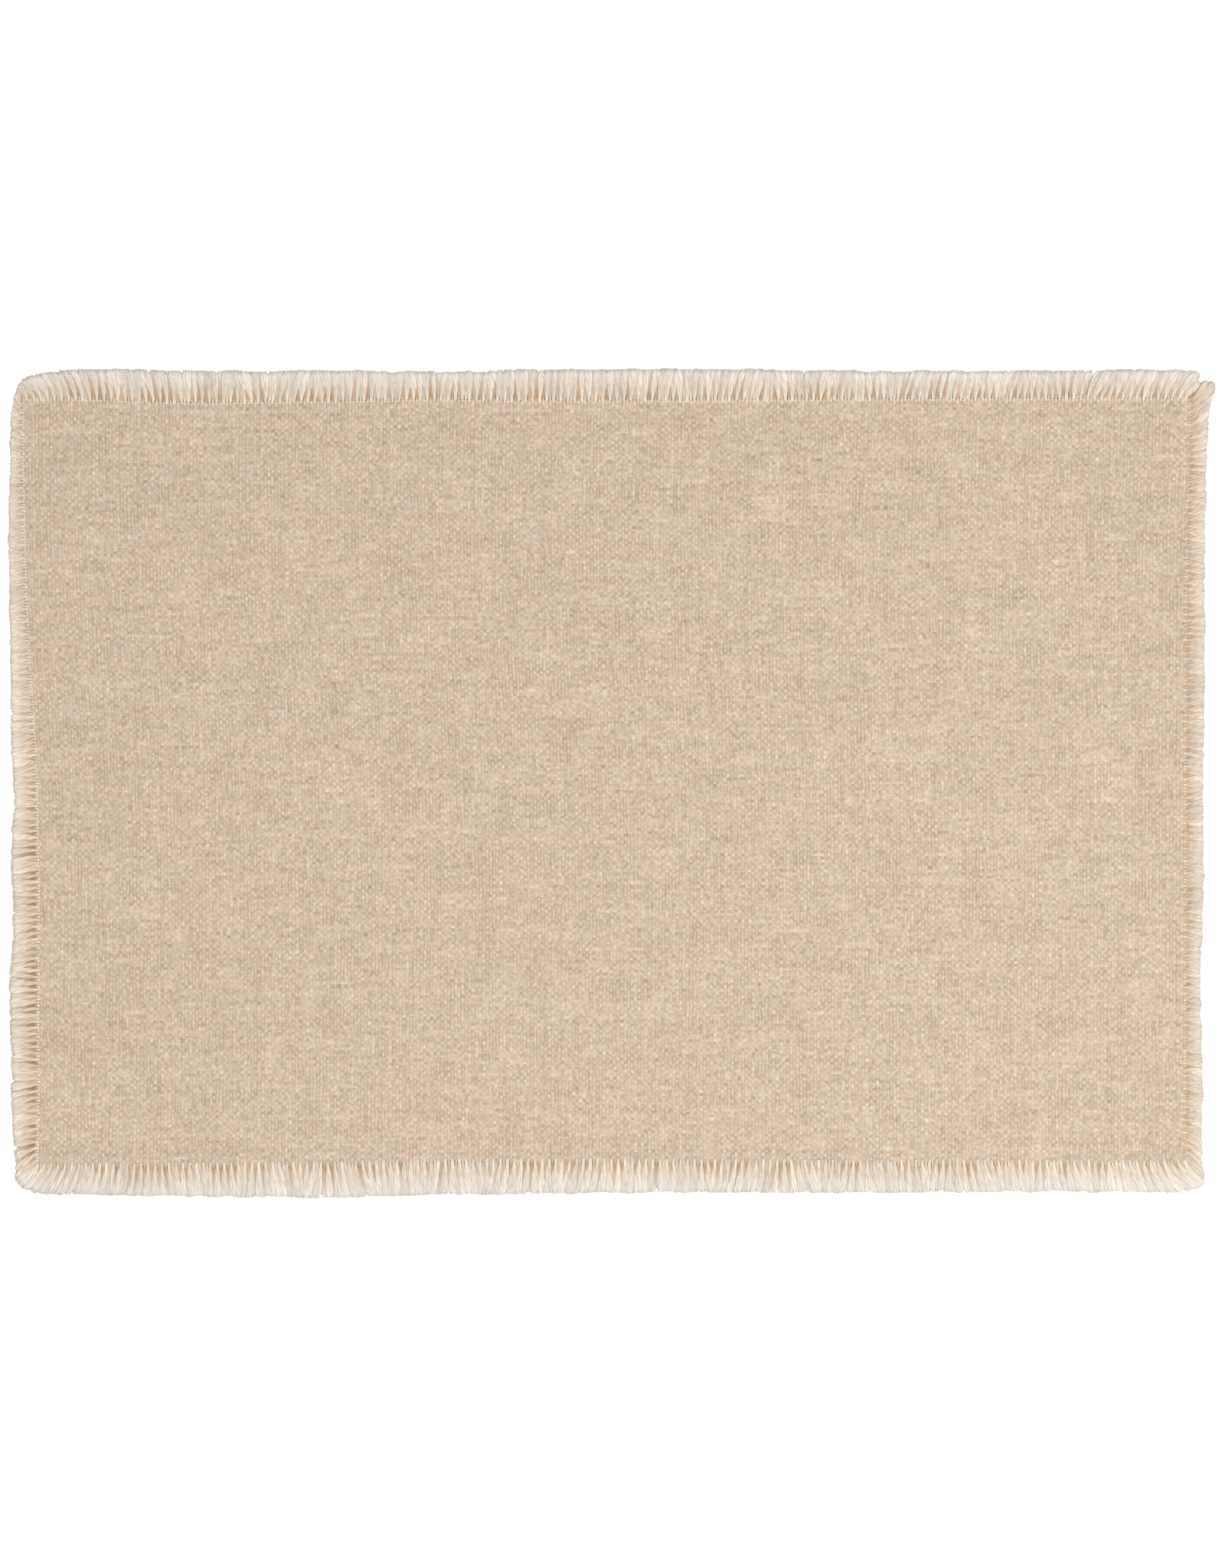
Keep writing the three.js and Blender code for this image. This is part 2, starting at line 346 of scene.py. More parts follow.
def map_plainly(faces, smooth):
    """Maps faces from above: yarns counted by distance, and a part of the bake square."""
    width = UNDERSIDE_MAP_WIDTH - 2 * MAP_EDGE
    depth = 1 - TOP_MAP_DEPTH - 2 * MAP_EDGE
    for face in faces:
        face.smooth = smooth
        for loop in face.loops:
            x, y = loop.vert.co[:2]
            loop[yarn_map].uv = ((x + half_length) / WARP_PITCH - 0.5, (y + half_width) / WEFT_PITCH - 0.5)
            loop[bake_map].uv = (
                MAP_EDGE + (x / half_length / 2 + 0.5) * width,
                TOP_MAP_DEPTH + MAP_EDGE + (y / half_width / 2 + 0.5) * depth,
            )


map_plainly(underside, smooth=False)
map_plainly(wall_faces, smooth=True)
bmesh.ops.recalc_face_normals(bm, faces=bm.faces)
cloth_mesh = bpy.data.meshes.new("woven_cloth")
bm.to_mesh(cloth_mesh)
bm.free()
cloth = bpy.data.objects.new("woven_cloth", cloth_mesh)
scene.collection.objects.link(cloth)
cloth_mesh.calc_loop_triangles()
print("woven cloth:", len(cloth_mesh.loop_triangles), "triangles")

# %% [markdown]
# Every finish is a small graph of nodes, and long graphs are easier to read as sums. This
# helper adds one node at each call and hands back its output, so a line of code reads like a
# line of the recipe. Colours are written as they look on a screen and turned into light.

# %% Helpers for finishes
CLOTH_SHINE = 0.15
SHEEN_ROUGHNESS = 0.5
NOISE_LOW, NOISE_HIGH = 0.2, 0.8


def screen(red, green, blue):
    """A colour seen on a screen, from 0 to 255, as the light that a shader works in."""
    levels = [value / 255 for value in (red, green, blue)]
    return (*[v / 12.92 if v <= 0.04045 else ((v + 0.055) / 1.055) ** 2.4 for v in levels], 1)


class Finish:
    """A matt cloth finish under construction."""

    def __init__(self, name, roughness, sheen):
        self.material = bpy.data.materials.new(name)
        self.material.use_nodes = True
        self.tree = self.material.node_tree
        self.shader = self.tree.nodes["Principled BSDF"]
        self.shader.inputs["Roughness"].default_value = roughness
        self.shader.inputs["Specular IOR Level"].default_value = CLOTH_SHINE
        self.shader.inputs["Sheen Weight"].default_value = sheen
        self.shader.inputs["Sheen Roughness"].default_value = SHEEN_ROUGHNESS

    def add(self, kind, values, output=0, **settings):
        made = self.tree.nodes.new(kind)
        for name, value in settings.items():
            setattr(made, name, value)
        for socket, value in values.items():
            if isinstance(value, bpy.types.NodeSocket):
                self.tree.links.new(value, made.inputs[socket])
            else:
                made.inputs[socket].default_value = value
        return made.outputs[output]

    def sum(self, operation, *values):
        return self.add("ShaderNodeMath", dict(enumerate(values)), operation=operation)

    def times(self, first, second):
        return self.sum("MULTIPLY", first, second)

    def spread(self, value, low, high, to_low, to_high):
        values = {0: value, 1: low, 2: high, 3: to_low, 4: to_high}
        return self.add("ShaderNodeMapRange", values, clamp=True)

    def point(self, x, y, z=0.0):
        return self.add("ShaderNodeCombineXYZ", {0: x, 1: y, 2: z})

    def noise(self, place, scale=1.0, detail=1.0):
        values = {"Vector": place, "Scale": scale, "Detail": detail}
        return self.add("ShaderNodeTexNoise", values, noise_dimensions="3D")

    def patches(self, yarns, steps, apart, detail=2.0):
        """Noise over the two yarn counts. The number "apart" gives each noise its own pattern."""
        u, v = [self.times(count, step) for count, step in zip(yarns, steps)]
        return self.noise(self.point(u, v, apart), detail=detail)

    def vary(self, noise, low, high):
        """A noise, which mostly keeps to its middle part, spread out from low to high."""
        return self.spread(noise, NOISE_LOW, NOISE_HIGH, low, high)

    def chance(self, place):
        return self.add("ShaderNodeTexWhiteNoise", {"Vector": place}, noise_dimensions="2D")

    def between(self, share, first, second):
        return self.add("ShaderNodeMix", {0: share, 2: first, 3: second}, data_type="FLOAT")

    def mix(self, share, first, second, way="MIX"):
        values = {0: share, 6: first, 7: second}
        return self.add("ShaderNodeMix", values, output=2, data_type="RGBA", blend_type=way)

    def brighten(self, color, factor):
        start = color if isinstance(color, bpy.types.NodeSocket) else color[:3]
        return self.add("ShaderNodeVectorMath", {0: start, "Scale": factor}, operation="SCALE")

    def attribute(self, name):
        return self.add("ShaderNodeAttribute", {}, output=2, attribute_name=name)

    def done(self, color, height, depth):
        """Colour and relief go into the shader. The depth is that of a height of one."""
        self.tree.links.new(color, self.shader.inputs["Base Color"])
        bump = self.add("ShaderNodeBump", {"Height": height, "Distance": depth, "Strength": 1.0})
        self.tree.links.new(bump, self.shader.inputs["Normal"])
        return self.material


# %% [markdown]
# Where two waves, one over the warp count and one over the weft count, are multiplied, the
# result is high where the warp is on top, low where the weft is, and nothing in the gaps
# between yarns. On top come the things that make it look spun and not printed. The yarns sway a
# little, and the warp covers the weft more in one place than in another. Both yarns have
# lighter and darker streaks, every crossing has its own tone, and faint bands run along either
# yarn. The colour drifts between peach, yellow and grey, and here and there lies a brown fleck.
# Each pattern is a noise, stretched by how much of it goes to one yarn each way. The gaps
# between the warp yarns, and very faintly those between the weft yarns, are darkened with
# painted shade, deeper where the warp covers more of the weft.

# %% Finish of the woven cloth
GROUND = screen(193, 174, 153)
YARN_SWAY = 0.9
COVER_NOISE = (0.3, 0.7)
UNEVEN_COVER = 0.35
CHECK_EDGE = 0.95
WARP_LIGHT = 1.09
WARP_STREAK = 0.16
WEFT_LIGHT = 0.92
WEFT_STREAK = 0.22
STREAK_STEP = 0.13
DARK_CROSSINGS_RARE = 3.0
CROSSING_SHADES = (1.03, 0.88)
BLOTCH_SHADES = (0.73, 1.25)
BANDS = [
    {"steps": (0.03, 0.4), "apart": 70.0, "depth": 0.06},
    {"steps": (0.4, 0.03), "apart": 65.0, "depth": 0.05},
    {"steps": (0.05, 0.05), "apart": 60.0, "depth": 0.03},
]
WARP_GAP_DARK = 0.24
WEFT_GAP_DARK = 0.01
PEACH = (0.955, 1.045)
PEACH_DRIFT = (0.98, 1.02)
YELLOW = (1.07, 0.93)
DEEPER_WHEN_DARK = (0.86, 1.0, 1.15)
BROWN_FLECK = screen(150, 118, 86)
FLECK_BEGINS, FLECK_FULL = 0.76, 0.84
FLECK_STRENGTH = 0.5
YARN_ROUNDNESS = 0.7
FIBRE_SHARE = 0.5
RELIEF = 0.08 * MM


def weave_finish():
    f = Finish("plain weave in cream and sand", roughness=0.95, sheen=0.15)
    counts = f.add("ShaderNodeUVMap", {}, uv_map="Yarns")
    u = f.add("ShaderNodeSeparateXYZ", {0: counts}, output=0)
    v = f.add("ShaderNodeSeparateXYZ", {0: counts}, output=1)
    sway_u = f.patches((u, v), (0.55, 0.3), 130.0, detail=1.0)
    sway_v = f.patches((u, v), (0.3, 0.55), 170.0, detail=1.0)
    u = f.sum("ADD", u, f.times(f.sum("SUBTRACT", sway_u, 0.5), YARN_SWAY))
    v = f.sum("ADD", v, f.times(f.sum("SUBTRACT", sway_v, 0.5), YARN_SWAY))
    yarns = (u, v)
    warp_number = f.sum("FLOOR", f.sum("ADD", u, 0.5))
    weft_number = f.sum("FLOOR", f.sum("ADD", v, 0.5))
    wave_u = f.sum("COSINE", f.times(u, math.pi))
    wave_v = f.sum("COSINE", f.times(v, math.pi))
    weave = f.times(wave_u, wave_v)

    cover = f.patches(yarns, (0.12, 0.12), 30.0)
    cover = f.spread(cover, *COVER_NOISE, -UNEVEN_COVER, UNEVEN_COVER)
    warp_shows = f.spread(f.sum("ADD", weave, cover), -CHECK_EDGE, CHECK_EDGE, 0, 1)
    warp_streak = f.patches((warp_number, v), (7.31, STREAK_STEP), 3.0)
    weft_streak = f.patches((u, weft_number), (STREAK_STEP, 5.17), 9.0)
    warp_light = f.vary(warp_streak, WARP_LIGHT - WARP_STREAK, WARP_LIGHT + WARP_STREAK)
    weft_light = f.vary(weft_streak, WEFT_LIGHT - WEFT_STREAK, WEFT_LIGHT + WEFT_STREAK)
    light = f.between(warp_shows, weft_light, warp_light)

    own = f.chance(f.point(warp_number, weft_number))
    own = f.sum("POWER", own, DARK_CROSSINGS_RARE)
    light = f.times(light, f.spread(own, 0, 1, *CROSSING_SHADES))
    blotch = f.patches(yarns, (0.9, 0.8), 45.0, detail=3.0)
    light = f.times(light, f.vary(blotch, *BLOTCH_SHADES))
    for band in BANDS:
        shade = f.patches(yarns, band["steps"], band["apart"])
        light = f.times(light, f.vary(shade, 1 - band["depth"], 1 + band["depth"]))
    # Painted shade in the gaps between the warp yarns and, very faintly, between the weft yarns.
    gap_u = f.sum("SUBTRACT", 1.0, f.times(wave_u, wave_u))
    gap_v = f.sum("SUBTRACT", 1.0, f.times(wave_v, wave_v))
    gap_u = f.times(gap_u, f.spread(cover, -UNEVEN_COVER, UNEVEN_COVER, 0, WARP_GAP_DARK))
    light = f.times(light, f.sum("SUBTRACT", 1.0, gap_u))
    light = f.times(light, f.sum("SUBTRACT", 1.0, f.times(gap_v, WEFT_GAP_DARK)))

    peach = f.vary(f.patches(yarns, (0.2, 0.2), 55.0), *PEACH)
    peach_drift = f.vary(f.patches(yarns, (0.03, 0.03), 110.0, detail=1.0), *PEACH_DRIFT)
    yellow = f.vary(f.patches(yarns, (0.3, 0.3), 75.0), *YELLOW)
    tint = f.point(f.times(peach, peach_drift), 1.0, yellow)
    color = f.mix(1.0, GROUND, tint, way="MULTIPLY")
    deeper = f.point(*[f.sum("POWER", light, power) for power in DEEPER_WHEN_DARK])
    color = f.mix(1.0, color, deeper, way="MULTIPLY")
    fleck = f.patches(yarns, (0.9, 1.7), 90.0, detail=0.0)
    color = f.mix(f.spread(fleck, FLECK_BEGINS, FLECK_FULL, 0, FLECK_STRENGTH), color, BROWN_FLECK)

    round_yarn = f.sum("POWER", f.sum("ABSOLUTE", weave), YARN_ROUNDNESS)
    warp_fibre = f.patches(yarns, (7.0, 1.3), 5.0)
    weft_fibre = f.patches(yarns, (1.3, 7.0), 15.0)
    fibre = f.between(warp_shows, weft_fibre, warp_fibre)
    height = f.sum("ADD", round_yarn, f.times(fibre, FIBRE_SHARE))
    return f.done(color, height, RELIEF)


cloth_mesh.materials.append(weave_finish())
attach(cloth, "root")
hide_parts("cloth")
print("finish of the woven cloth:", len(cloth_mesh.materials[0].node_tree.nodes), "nodes")

# %% [markdown]
# A loose yarn end is not one thread. It leaves the weave as a firm cord, opens into a flat
# soft brush towards its cut end, and sheds single fibres that fill the space to its
# neighbours. Hair particles could do this, but they end as loose curves without a skin, so
# everything is a closed tube here: one wide core that flattens as the yarn opens, a few plies
# that wind round it, and thin fibres. One yarn end is modelled once, out of straight tubes
# lying side by side, an array repeats it for every yarn of a side, and then each tube is bent
# along the way that its own yarn takes.

# %% One yarn end of straight tubes
CORE_SIDES = 8
CORE_RINGS = 8
PLIES = 3
PLY_SIDES = 5
PLY_RINGS = 8
FIBRES = 7
FIBRE_SIDES = 3
FIBRE_RINGS = 5
LANES = 1 + PLIES + FIBRES
LANE_WIDTH = 4.0


def add_tube(bm, sides, rings, lane):
    """A straight tube one unit long and one unit in radius, along +Y in its own lane."""
    stand = Matrix.Translation((lane * LANE_WIDTH, 0.5, 0)) @ Matrix.Rotation(-math.pi / 2, 4, "X")
    made = bmesh.ops.create_cone(
        bm, cap_ends=True, segments=sides, radius1=1, radius2=1, depth=1, matrix=stand
    )
    edges = {edge for vertex in made["verts"] for edge in vertex.link_edges}
    long_edges = [edge for edge in edges if abs(edge.verts[0].co.y - edge.verts[1].co.y) > 0.5]
    bmesh.ops.subdivide_edges(bm, edges=long_edges, cuts=rings - 2, use_grid_fill=True)


def tube_set(name, tubes):
    """A mesh of straight tubes, a lane for each, from a list of sides and rings."""
    bm = bmesh.new()
    for lane, (sides, rings) in enumerate(tubes):
        add_tube(bm, sides, rings, lane)
    bmesh.ops.recalc_face_normals(bm, faces=bm.faces)
    mesh = bpy.data.meshes.new(name)
    bm.to_mesh(mesh)
    bm.free()
    return mesh


def repeat(mesh, count, name):
    """The mesh repeated by an array modifier and joined to one mesh."""
    single = bpy.data.objects.new(name, mesh)
    scene.collection.objects.link(single)
    array = single.modifiers.new("row", "ARRAY")
    array.count = count
    array.use_relative_offset = False
    array.use_constant_offset = True
    array.constant_offset_displace = (0, 0, 2 * LANE_WIDTH)
    joined = bpy.data.meshes.new_from_object(single.evaluated_get(bpy.context.evaluated_depsgraph_get()))
    joined.name = name
    bpy.data.objects.remove(single)
    return joined


def read_tubes(mesh, count):
    """For each point of the repeated mesh: its copy, its lane, how far along, and its section."""
    points = np.empty(len(mesh.vertices) * 3)
    mesh.vertices.foreach_get("co", points)
    x, y, z = np.tile(points.reshape(-1, 3), (count, 1)).T
    lane = np.rint(x / LANE_WIDTH).astype(int)
    copy = np.repeat(np.arange(count), len(mesh.vertices))
    return copy, lane, y, x - lane * LANE_WIDTH, z


yarn_end = tube_set("yarn_end", [
    (CORE_SIDES, CORE_RINGS),
    *[(PLY_SIDES, PLY_RINGS)] * PLIES,
    *[(FIBRE_SIDES, FIBRE_RINGS)] * FIBRES,
])
yarn_end.calc_loop_triangles()
print("one yarn end:", LANES, "tubes,", len(yarn_end.loop_triangles), "triangles")

# %% [markdown]
# How a yarn end lies. Where the weave stops, every second yarn comes off the top of the last
# crossing yarn and the others come from under it, which is why a fringe shows bright strands
# with dark gaps between them. All sink to the table towards their tips, where they have
# opened so far that they touch. The lean along the side is the solids' lean, with a scatter
# for each yarn. A few neighbours at a time are gathered into a lock, which leans a little of
# its own and is drawn together at its tip, and over every half dozen yarns the whole row sways
# one way and back, so that the strands cross and spread without a hole. At the corners the two
# sides fan into each other and are trimmed round. Each cut is a straight line, given by the
# direction it faces in degrees and by its distance from the middle in millimetres. One corner
# is left with a notch and a tuft, by a cut for each of its two sides.

# %% The way a yarn end lies
ROOT_INSET = 1.3 * MM
HEIGHT_STATIONS = [-0.15, 0.0, 0.25, 0.65, 1.0]
OVER_HEIGHTS = np.array([0.95, 1.12, 0.93, 0.5, 0.15]) * MM
UNDER_HEIGHTS = np.array([0.95, 1.02, 0.68, 0.36, 0.1]) * MM
ROOT_SHIFT = 0.8 * MM
TABLE_CLEARANCE = 0.02 * MM
LEAN_EASE = 0.6
YARN_LEAN_SCATTER = 0.42 * MM
YARN_LENGTH_SCATTER = 0.16 * MM
LOCK_SIZES = (2, 3, 4, 5, 6)
LOCK_PULL = 0.2
LOCK_LEAN = 0.025
SWAY_LEAN = 0.17
SWAY_REACH = 6
CORNER_CUTS = [
    (113.7, 254.6), (157.4, 291.0), (184.9, 261.0), (217.4, 297.7),
    (246.0, 253.7), (288.4, 238.6), (302.0, 273.6), (358.2, 251.2),
]
OWN_CUTS = {"back": [(0, 244.6)], "right": [(90, 166.9)], "front": [], "left": []}


def gather(rng, roots, length):
    """How far each yarn's tip moves along the side with its lock, and towards the lock's middle."""
    moved = np.zeros(len(roots))
    first = 0
    while first < len(roots):
        last = min(first + rng.choice(LOCK_SIZES), len(roots))
        to_middle = roots[first:last].mean() - roots[first:last]
        moved[first:last] = to_middle * rng.uniform(0, LOCK_PULL)
        moved[first:last] += length[first:last] * rng.normal(0, LOCK_LEAN)
        first = last
    return moved


def yarn_ways(name, rng, roots, root_out):
    """The length and lean of each yarn end of a side."""
    side = sides[name]
    count = len(roots)
    reach = np.interp(roots, side["roots"], side["reach"]) + rng.normal(0, YARN_LENGTH_SCATTER, count)
    lean = np.interp(roots, side["roots"], side["lean"]) + rng.normal(0, YARN_LEAN_SCATTER, count)
    length = reach - root_out
    lean += gather(rng, roots, length)
    lean += length * SWAY_LEAN * smooth_field(rng, 1, count, (1, SWAY_REACH))[0]
    x, y = to_mat(name, roots, root_out)
    way_x, way_y = to_mat(name, lean, length)
    left_over = np.ones(count)
    for angle, distance in CORNER_CUTS + OWN_CUTS[name]:
        cut_x, cut_y = math.cos(math.radians(angle)), math.sin(math.radians(angle))
        room = distance * MM + rng.normal(0, YARN_LENGTH_SCATTER, count) - x * cut_x - y * cut_y
        taken = way_x * cut_x + way_y * cut_y
        left_over = np.minimum(left_over, np.where(taken > room, room / taken, 1))
    return length * left_over, lean * left_over


# %% [markdown]
# The finish will need to know where on its yarn a point lies, which no position in space can
# tell, so each point keeps four numbers: how far it is from the root, how far across its own
# tube, how much painted shade it gets for lying in the shade of its neighbours, and a tint by
# chance. Every tube also gets a cell of its own on the bake square, so that no two share a spot.

# %% Numbers kept on the points, and the bake map
BAKE_COLUMNS = 256
CELL_HALF_WIDTH = 0.35
CELL_EDGE = 0.04


def keep(mesh, name, values):
    """Stores one number a point, for the finish to read."""
    mesh.attributes.new(name, "FLOAT", "POINT").data.foreach_set("value", values.astype(np.float32))


def map_tubes(mesh, tube, t, section_x):
    """Gives every tube its own small upright cell of the bake square."""
    rows = int(tube.max()) // BAKE_COLUMNS + 1
    u = (tube % BAKE_COLUMNS + 0.5 + CELL_HALF_WIDTH * np.clip(section_x, -1, 1)) / BAKE_COLUMNS
    v = (tube // BAKE_COLUMNS + CELL_EDGE + (1 - 2 * CELL_EDGE) * t) / rows
    corners = np.empty(len(mesh.loops), np.int32)
    mesh.loops.foreach_get("vertex_index", corners)
    layer = mesh.uv_layers.new(name="OFBake")
    layer.data.foreach_set("uv", np.column_stack([u, v])[corners].astype(np.float32).ravel())


# %% [markdown]
# The core widens until it meets its neighbours, so the gap between two yarns is a wedge that
# closes on the way out. The plies of a yarn circle its middle line and the circle widens
# towards the tip, flat on the table. The single fibres start somewhere inside the yarn and
# drift out of it with a little wave. Each of these is a short function over all the points of
# a side at once. What happens by chance is drawn once for a yarn or once for a tube.

# %% Core, plies and fibres of a yarn end
CORE_WIDTH_ROOT = 0.62 * MM
CORE_WIDTH_TIP = 1.7 * MM
CORE_WIDTH_SCATTER = 0.25
CORE_OPEN_AT = 0.72
CORE_DEPTH_ROOT = 0.45 * MM
CORE_DEPTH_TIP = 0.08 * MM
CORNER_FAN = 0.35
CORNER_REACH = 5.0 * MM
PLY_RADIUS_ROOT = 0.36 * MM
PLY_RADIUS_TIP = 0.11 * MM
PLY_THICKNESS = (0.85, 1.15)
PLY_CIRCLE_ROOT = 0.44 * MM
PLY_CIRCLE_TIP = 1.0 * MM
PLY_WIDENING = (0.75, 1.25)
PLY_FLATTENING = 0.75
PLY_OPENS_LATE = 1.3
PLY_TURNS = 0.7
PLY_LENGTH_SCATTER = 0.16 * MM
FIBRE_START = (-0.05, 0.45)
FIBRE_RADIUS = 0.08 * MM
FIBRE_THICK, FIBRE_THINNING = 1.15, 0.6
FIBRE_DRIFT = 0.75 * MM
FIBRE_DRIFT_AT_ROOT = 0.35
FIBRE_WAVE = 0.22 * MM
FIBRE_WAVE_TURN = 7
FIBRE_HEIGHTS_MM = (-0.1, 0.4)
FIBRE_SINKING = 0.4
FIBRE_LENGTH_SCATTER = 0.35 * MM
PAST_THE_TIP = 1.1
LAST_RING = 0.99
LAST_RING_TAPER = 0.6


class YarnPoints:
    """All the points of a side's yarn ends, and the chances that they share."""

    def __init__(self, rng, count):
        self.rng = rng
        self.count = count
        self.copy, self.lane, self.t, self.section_x, self.section_z = read_tubes(yarn_end, count)
        self.is_fibre = self.lane > PLIES

    def pick(self, core, ply, fibre):
        """A value for each point, by the kind of tube that it is on."""
        return np.where(self.lane == 0, core, np.where(self.is_fibre, fibre, ply))

    def each_yarn(self, draw, first, second):
        """A random number drawn once for each yarn."""
        return draw(first, second, self.count)[self.copy]

    def each_tube(self, draw, first, second):
        """A random number drawn once for each tube."""
        return draw(first, second, (self.count, LANES))[self.copy, self.lane]


def lengthwise(points, full):
    """How far out of the weave each point lies, and how much of the way to the tip that is."""
    fibre_begin = points.each_tube(points.rng.uniform, *FIBRE_START) * full
    begin = np.where(points.is_fibre, fibre_begin, -ROOT_INSET)
    ply_scatter = points.each_tube(points.rng.normal, 0, PLY_LENGTH_SCATTER)
    fibre_scatter = points.each_tube(points.rng.normal, 0, FIBRE_LENGTH_SCATTER)
    out = begin + points.t * (full + points.pick(0, ply_scatter, fibre_scatter) - begin)
    return out, np.clip(out / full, 0, PAST_THE_TIP)


def ply_place(points, share):
    """Where a ply lies on the circle that it makes, aside from the yarn's middle and up."""
    first_turn = points.each_yarn(points.rng.uniform, 0, 2 * np.pi) + points.lane * 2 * np.pi / PLIES
    turn = first_turn + 2 * np.pi * PLY_TURNS * share
    opened = share ** PLY_OPENS_LATE
    widen = points.each_tube(points.rng.uniform, *PLY_WIDENING)
    circle_x = PLY_CIRCLE_ROOT + (PLY_CIRCLE_TIP - PLY_CIRCLE_ROOT) * opened * widen
    circle_z = PLY_CIRCLE_ROOT * (1 - PLY_FLATTENING * opened)
    return circle_x * np.cos(turn), circle_z * np.sin(turn)


def fibre_place(points, share):
    """How far a single fibre has drifted aside from its yarn's middle, and up."""
    drift = points.each_tube(points.rng.normal, 0, FIBRE_DRIFT)
    wave = points.each_tube(points.rng.uniform, 0, 2 * np.pi)
    height = points.each_tube(points.rng.uniform, *FIBRE_HEIGHTS_MM) * MM
    drifted = drift * (FIBRE_DRIFT_AT_ROOT + (1 - FIBRE_DRIFT_AT_ROOT) * share)
    return drifted + FIBRE_WAVE * np.sin(wave + share * FIBRE_WAVE_TURN), height * (1 - FIBRE_SINKING * share)


def middle_height(points, over, out, share, full):
    """How high a yarn's middle runs, over the last crossing yarn or out from under it."""
    shift = points.each_yarn(points.rng.uniform, 0, ROOT_SHIFT)
    station = (out + shift * (1 - share)) / full
    from_top = np.interp(station, HEIGHT_STATIONS, OVER_HEIGHTS)
    from_under = np.interp(station, HEIGHT_STATIONS, UNDER_HEIGHTS)
    return np.where(over[points.copy], from_top, from_under)


def tube_sizes(points, roots, share):
    """Half of each tube's width and half of its depth."""
    thin = PLY_RADIUS_ROOT + (PLY_RADIUS_TIP - PLY_RADIUS_ROOT) * share
    thin *= points.each_tube(points.rng.uniform, *PLY_THICKNESS)
    from_corner = np.minimum(roots - roots[0], roots[-1] - roots)
    fan = 1 + CORNER_FAN * np.clip(1 - from_corner / CORNER_REACH, 0, 1)
    core_scatter = points.each_yarn(points.rng.normal, 1, CORE_WIDTH_SCATTER) * fan[points.copy]
    core_open = np.clip(share / CORE_OPEN_AT, 0, 1) * core_scatter
    core_width = CORE_WIDTH_ROOT + (CORE_WIDTH_TIP - CORE_WIDTH_ROOT) * core_open
    core_depth = CORE_DEPTH_ROOT + (CORE_DEPTH_TIP - CORE_DEPTH_ROOT) * share
    fine = FIBRE_RADIUS * (FIBRE_THICK - FIBRE_THINNING * points.t)
    taper = np.where(points.t > LAST_RING, LAST_RING_TAPER, 1.0)
    return points.pick(core_width, thin, fine) * taper, points.pick(core_depth, thin, fine) * taper


# %% [markdown]
# Bending brings these together. A yarn that leans a little keeps a tip cut in line with its
# neighbours', and one that leans steeply, at a corner, is cut square across. No tube sinks
# into the table. A yarn that comes from under its neighbours lies in their shade, and this
# shade is painted into its colour, for each yarn more or less.

# %% Bend the tubes into yarn ends
STEEP_FROM = 0.5
SHADE_ON_TOP = 0.1
SHADE_ON_FIBRE = 0.5
SHADE_CHANCE = (0.25, 1.3)


def bend_yarns(name, rng, roots, root_out, over, painted_gap_shade):
    """A side's yarn ends as one mesh, from the roots' places and which of them lie on top."""
    length, lean = yarn_ways(name, rng, roots, root_out)
    mesh = repeat(yarn_end, len(roots), f"yarn_ends_{name}")
    points = YarnPoints(rng, len(roots))
    copy = points.copy
    full = length[copy]
    out, share = lengthwise(points, full)
    ply_x, ply_z = ply_place(points, share)
    fibre_x, fibre_z = fibre_place(points, share)
    middle = middle_height(points, over, out, share, full)
    width, depth = tube_sizes(points, roots, share)

    slope = lean[copy] * (LEAN_EASE + 2 * (1 - LEAN_EASE) * share) / full
    steep = np.sign(slope) * np.maximum(abs(slope) - STEEP_FROM, 0)
    aside = points.pick(0, ply_x, fibre_x) + points.section_x * width
    aside *= np.sqrt(1 + slope ** 2) / (1 + steep * slope)
    along = roots[copy] + lean[copy] * (LEAN_EASE * share + (1 - LEAN_EASE) * share ** 2) + aside
    centre_z = np.maximum(middle + points.pick(0, ply_z, fibre_z), depth + TABLE_CLEARANCE)
    x, y = to_mat(name, along, root_out[copy] + out - steep * aside)
    places = np.column_stack([x, y, centre_z + points.section_z * depth])
    mesh.vertices.foreach_set("co", places.ravel())

    # Painted shade: how far the finish pulls each point towards its dark gap colour, most for yarns that come
    # from under the last crossing.
    shade = np.where(over[copy], SHADE_ON_TOP, 1.0) * np.where(points.is_fibre, SHADE_ON_FIBRE, 1.0)
    shade = shade * points.each_yarn(rng.uniform, *SHADE_CHANCE) * painted_gap_shade[copy]
    keep(mesh, "from_root", share)
    keep(mesh, "across", points.section_x * width / MM)
    keep(mesh, "shade", np.clip(shade, 0, 1))
    keep(mesh, "tint", points.each_tube(rng.uniform, 0, 1))
    map_tubes(mesh, copy * LANES + points.lane, points.t, points.section_x)
    mesh.update()
    return mesh


# %% [markdown]
# The yarn ends are the same yarns as the cloth's, but they look paler, because nothing
# presses them flat and their opened tips scatter the light. Near the weave the gaps between
# them lie in shade, and that shade is painted. The colour therefore runs from the root's to the
# tip's and is pulled towards a warm brown painted shade where a point lies low, most near the
# root, and fine streaks along each yarn show its fibres.

# %% Finish of the loose yarn ends
MIDDLE_AT, TIP_AT = 0.35, 0.95
GAP_FROM, GAP_FULL_AT = 0.05, 0.08
GAP_FADES_LATE = 0.7
GAP_AT_ROOT = 0.35
TUBE_SHADES = (0.9, 1.1)
CLOUDS_PER_MM = 0.25
CLOUD_NOISE = (0.3, 0.7)
CLOUD_SHADES = (0.96, 1.03)
FIBRES_PER_MM = 1.6
TUBES_APART = 90.0
FIBRE_NOISE = (0.25, 0.75)
FIBRE_SHADES = (0.92, 1.05)
FIBRE_RELIEF = 0.03 * MM


